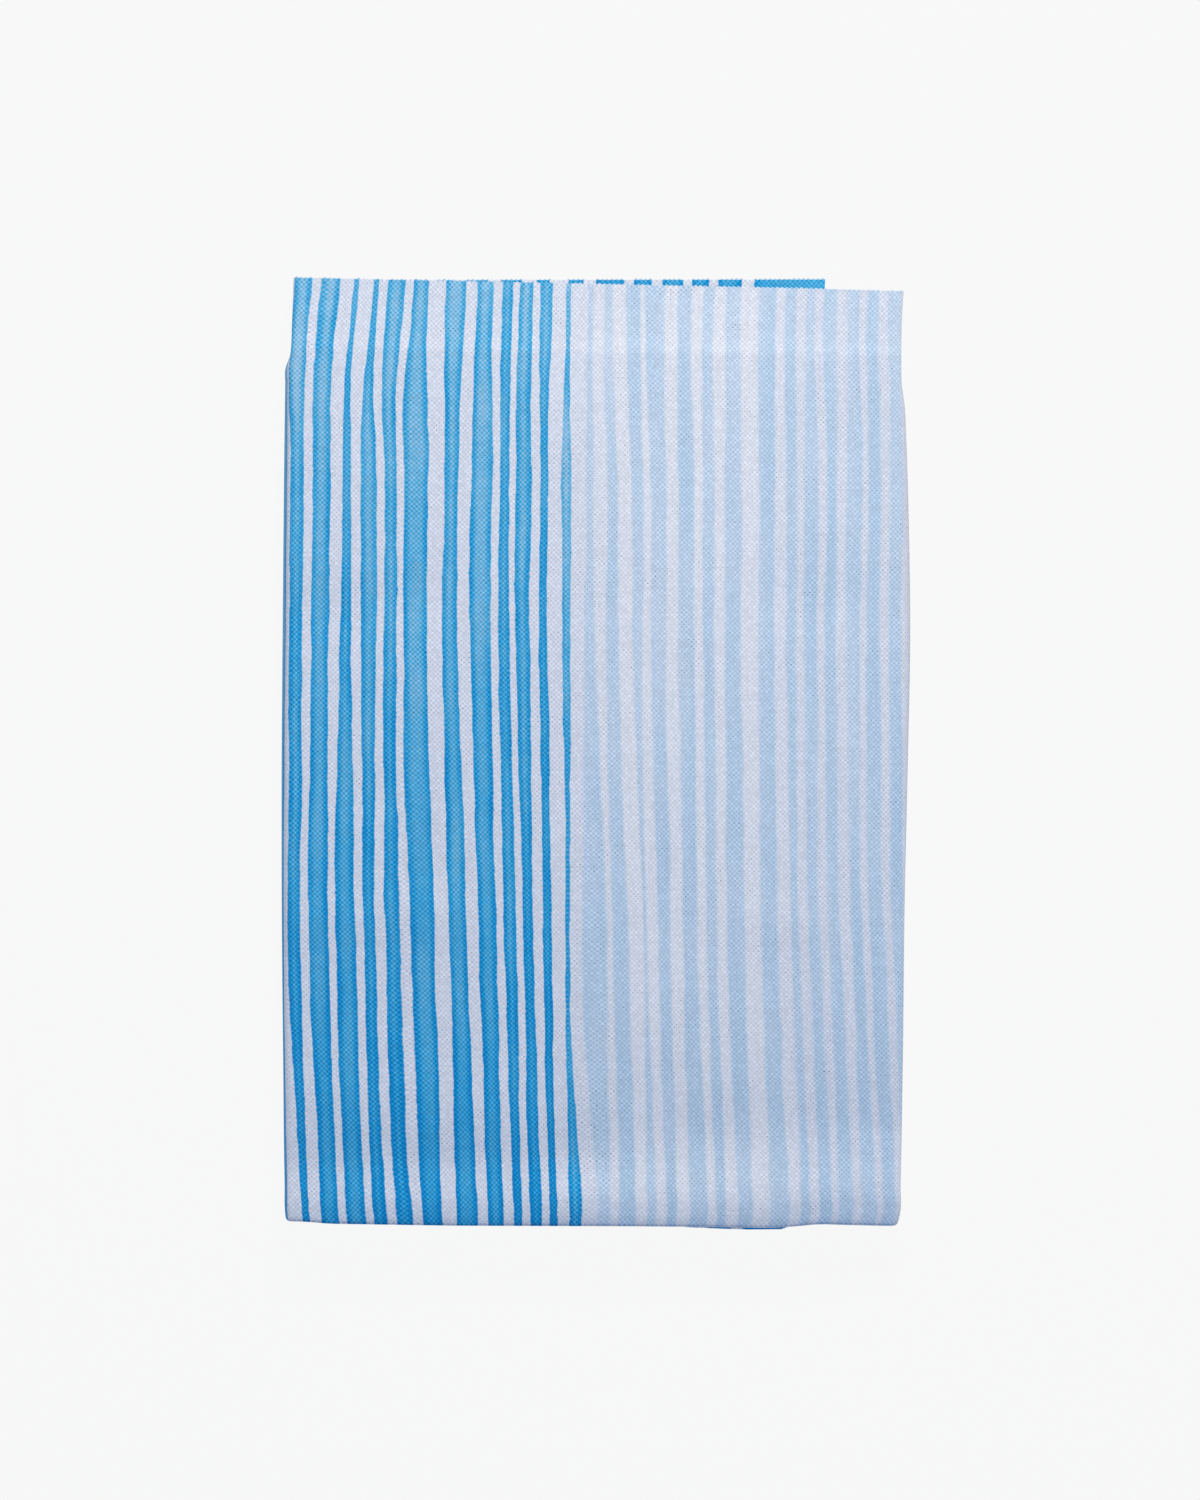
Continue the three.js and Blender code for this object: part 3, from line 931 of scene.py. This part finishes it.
def edge_yarns_tree():
    inputs = {"Points": ("Geometry", None), "Start": ("Vector", (0.0, 0.0, 0.0)),
              "Middle": ("Vector", (0.0, 0.0, 0.0)), "End": ("Vector", (0.0, 0.0, 0.0)),
              "Radius": ("Float", YARN_RADIUS), "Shortest": ("Float", 1.0),
              "Longest": ("Float", 1.0), "Lift": ("Float", 0.0), "Spread": ("Float", 0.0),
              "Seed": ("Int", 1), "Material": ("Material", None)}
    tree, given, result = new_group("edge yarns", inputs, {"Yarns": "Geometry"},
                                    "GeometryNodeTree")
    curve = node(tree, "GeometryNodeCurveQuadraticBezier", {
        "Resolution": CURVE_STEPS, "Start": given["Start"], "Middle": given["Middle"],
        "End": given["End"]})
    profile = node(tree, "GeometryNodeCurvePrimitiveCircle",
                   {"Resolution": YARN_SIDES, "Radius": given["Radius"]})
    yarn = node(tree, "GeometryNodeCurveToMesh", {
        "Curve": curve.outputs[0], "Profile Curve": profile.outputs[0], "Fill Caps": True})

    def facing(label):
        return node(tree, "GeometryNodeInputNamedAttribute", {"Name": label},
                    data_type="FLOAT_VECTOR").outputs[0]

    way = node(tree, "FunctionNodeAxesToRotation",
               {"Primary Axis": facing("outward"), "Secondary Axis": facing("sideways")},
               primary_axis="X", secondary_axis="Y")
    turn = node(tree, "FunctionNodeRandomValue",
                {0: vector(tree, 0.0, maths(tree, "MULTIPLY", given["Lift"], -1.0),
                           maths(tree, "MULTIPLY", given["Spread"], -1.0)),
                 1: vector(tree, 0.0, 0.0, given["Spread"]), "Seed": given["Seed"]},
                data_type="FLOAT_VECTOR")
    turned = node(tree, "FunctionNodeRotateRotation", {
        "Rotation": way.outputs[0],
        "Rotate By": node(tree, "FunctionNodeEulerToRotation",
                          {0: turn.outputs[0]}).outputs[0]},
        rotation_space="LOCAL")
    length = node(tree, "FunctionNodeRandomValue",
                  {2: given["Shortest"], 3: given["Longest"],
                   "Seed": maths(tree, "ADD", given["Seed"], 1.0)}, data_type="FLOAT")
    placed = node(tree, "GeometryNodeInstanceOnPoints", {
        "Points": given["Points"], "Instance": yarn.outputs[0], "Rotation": turned.outputs[0],
        "Scale": vector(tree, length.outputs[1], 1.0, 1.0)})
    real = node(tree, "GeometryNodeRealizeInstances", {0: placed.outputs[0]})
    done = node(tree, "GeometryNodeSetMaterial",
                {"Geometry": real.outputs[0], "Material": given["Material"]})
    tree.links.new(done.outputs[0], result.inputs["Yarns"])
    return tree


edge_yarns = edge_yarns_tree()
print("the tree has", len(edge_yarns.nodes), "nodes")

# %% The fringes and the selvedges
loose = cotton_material("loose yarn", "ATTRIBUTE", "flat place", 0.0)
YARN_MM = YARN / MM
LOOP_EVERY = 2 * YARN_MM
FRINGE_INSET = 2.6  # the tight yarns beside a selvedge don't come loose
SIDEWAYS = (0.0, 1.0, 0.0)  # along a cut end


def grid_line(row, column, at):
    """Points, in mm, along one row or one column of the cloth's grid, and their flat places."""
    here = (row, slice(None)) if column is None else (slice(None), column)
    places = path if column is None else rows_across
    return np.stack([np.interp(at, places, axis[here]) for axis in (x, y, z)], -1), \
        np.stack([np.interp(at, places, axis[here]) for axis in (flat_u, flat_v)], -1)


def edge_piece(name, edges, **values):
    """One plain mesh of yarns, from (points, flat places, outward, sideways) of each edge."""
    points, flats, outward, sideways = (np.concatenate(part) for part in zip(*edges))
    guide = bpy.data.meshes.new(name)
    guide.from_pydata((points * MM).tolist(), [], [])
    flats = np.pad(flats * MM, ((0, 0), (0, 1)))
    for label, data in (("outward", outward), ("sideways", sideways), ("flat place", flats)):
        guide.attributes.new(label, "FLOAT_VECTOR", "POINT").data.foreach_set(
            "vector", data.ravel())
    piece = bpy.data.objects.new(name, guide)
    scene.collection.objects.link(piece)
    modifier = piece.modifiers.new("yarns", "NODES")
    modifier.node_group = edge_yarns
    for socket in edge_yarns.interface.items_tree:
        if socket.in_out == "INPUT" and socket.name in values:
            modifier[socket.identifier] = values[socket.name]
    make_plain(piece)
    for label in ("outward", "sideways"):
        piece.data.attributes.remove(piece.data.attributes[label])
    piece.data.shade_smooth()
    count = sum(len(p.vertices) - 2 for p in piece.data.polygons)
    print(name, "has", len(points), "yarns and", count, "triangles")
    return piece


def unit(vectors):
    return vectors / np.linalg.norm(vectors, axis=1, keepdims=True)


# a yarn's Start, Middle and End are counted outward, sideways and up from its point
cuts = []
for edge, inside in ((0, 1), (-1, -2)):
    across = np.arange(FRINGE_INSET, WIDTH - FRINGE_INSET, YARN_MM)
    points, flats = grid_line(None, edge, across)
    outward = unit(points - grid_line(None, inside, across)[0])
    cuts.append((points, flats, outward, np.tile(SIDEWAYS, (len(points), 1))))
fringe = edge_piece(
    "fringe", cuts, Start=(-0.3 * MM, 0.0, 0.0), Middle=(0.5 * MM, 0.05 * MM, 0.12 * MM),
    End=(1.0 * MM, 0.0, 0.02 * MM), Radius=0.12 * MM, Shortest=0.8, Longest=3.2, Lift=0.14,
    Spread=0.35, Seed=11, Material=loose)

selvedges = []
for edge, inside in ((0, 1), (-1, -2)):
    along = np.arange(LOOP_EVERY / 2, LENGTH, LOOP_EVERY)
    points, flats = grid_line(edge, None, along)
    outward = unit(points - grid_line(inside, None, along)[0])
    selvedges.append((points, flats, outward, unit(np.gradient(points, axis=0))))
loops = edge_piece(
    "selvedge-loops", selvedges, Start=(0.0, -0.24 * MM, 0.0), Middle=(0.34 * MM, 0.0, 0.0),
    End=(0.0, 0.24 * MM, 0.0), Radius=0.075 * MM, Shortest=0.6, Longest=1.1, Lift=0.1,
    Spread=0.1, Seed=23, Material=loose)

# %% [markdown]
# ## The table and the light
# A plain pale surface and soft light, stronger from the head of the pack, as from a window or
# a large softbox there. It lets the face fade gently towards the foot and shows each dent.

# %% The floor and the lights
FLOOR = 3.0  # half its side, in metres
FLOOR_Z = -0.02 * MM
FLOOR_COLOR = (0.02, 0.02, 0.02, 1.0)
FLOOR_GLOW = 0.92
SKY_COLOR, SKY_STRENGTH = (0.655, 1.003, 1.65, 1.0), 0.27
LAMP_AT = (0.10, 0.68, 0.60)  # metres, beyond the pack's head
LAMP_SIZE, LAMP_WATTS, LAMP_COLOR = 0.21, 6.75, (1.0, 0.985, 0.865)


def floor_material():
    """A dark surface that glows evenly, so that it looks equally pale all over."""
    material, _, shader = principled("pale table")
    shader.inputs["Base Color"].default_value = FLOOR_COLOR
    shader.inputs["Roughness"].default_value = 1.0
    shader.inputs["Specular IOR Level"].default_value = 0.0
    shader.inputs["Emission Color"].default_value = (1.0, 1.0, 1.0, 1.0)
    shader.inputs["Emission Strength"].default_value = FLOOR_GLOW
    material.cycles.emission_sampling = "NONE"
    return material


floor_mesh = bpy.data.meshes.new("table")
corners = [(sx * FLOOR, sy * FLOOR, FLOOR_Z) for sx, sy in ((-1, -1), (1, -1), (1, 1), (-1, 1))]
floor_mesh.from_pydata(corners, [], [(0, 1, 2, 3)])
floor = bpy.data.objects.new("table", floor_mesh)
scene.collection.objects.link(floor)
floor_mesh.materials.append(floor_material())

world = bpy.data.worlds.new("soft room")
world.use_nodes = True
background = world.node_tree.nodes["Background"]
background.inputs["Color"].default_value = SKY_COLOR
background.inputs["Strength"].default_value = SKY_STRENGTH
scene.world = world

lamp_data = bpy.data.lights.new("softbox", "AREA")
lamp_data.shape = "DISK"
lamp_data.size = LAMP_SIZE
lamp_data.energy = LAMP_WATTS
lamp_data.color = LAMP_COLOR
lamp = bpy.data.objects.new("softbox", lamp_data)
lamp.location = LAMP_AT
lamp.rotation_euler = (-Vector(LAMP_AT)).to_track_quat("-Z", "Y").to_euler()
scene.collection.objects.link(lamp)
scene.view_settings.view_transform = "Standard"
scene.view_settings.look = "None"
print("lit by", lamp.name, "and", world.name)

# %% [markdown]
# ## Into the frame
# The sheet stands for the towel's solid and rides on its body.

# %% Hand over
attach(towel, "root")
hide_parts("cloth")
for edge in (fringe, loops):
    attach(edge, "root")
print("handed over:", towel.name, fringe.name, loops.name, "on a", floor.name)
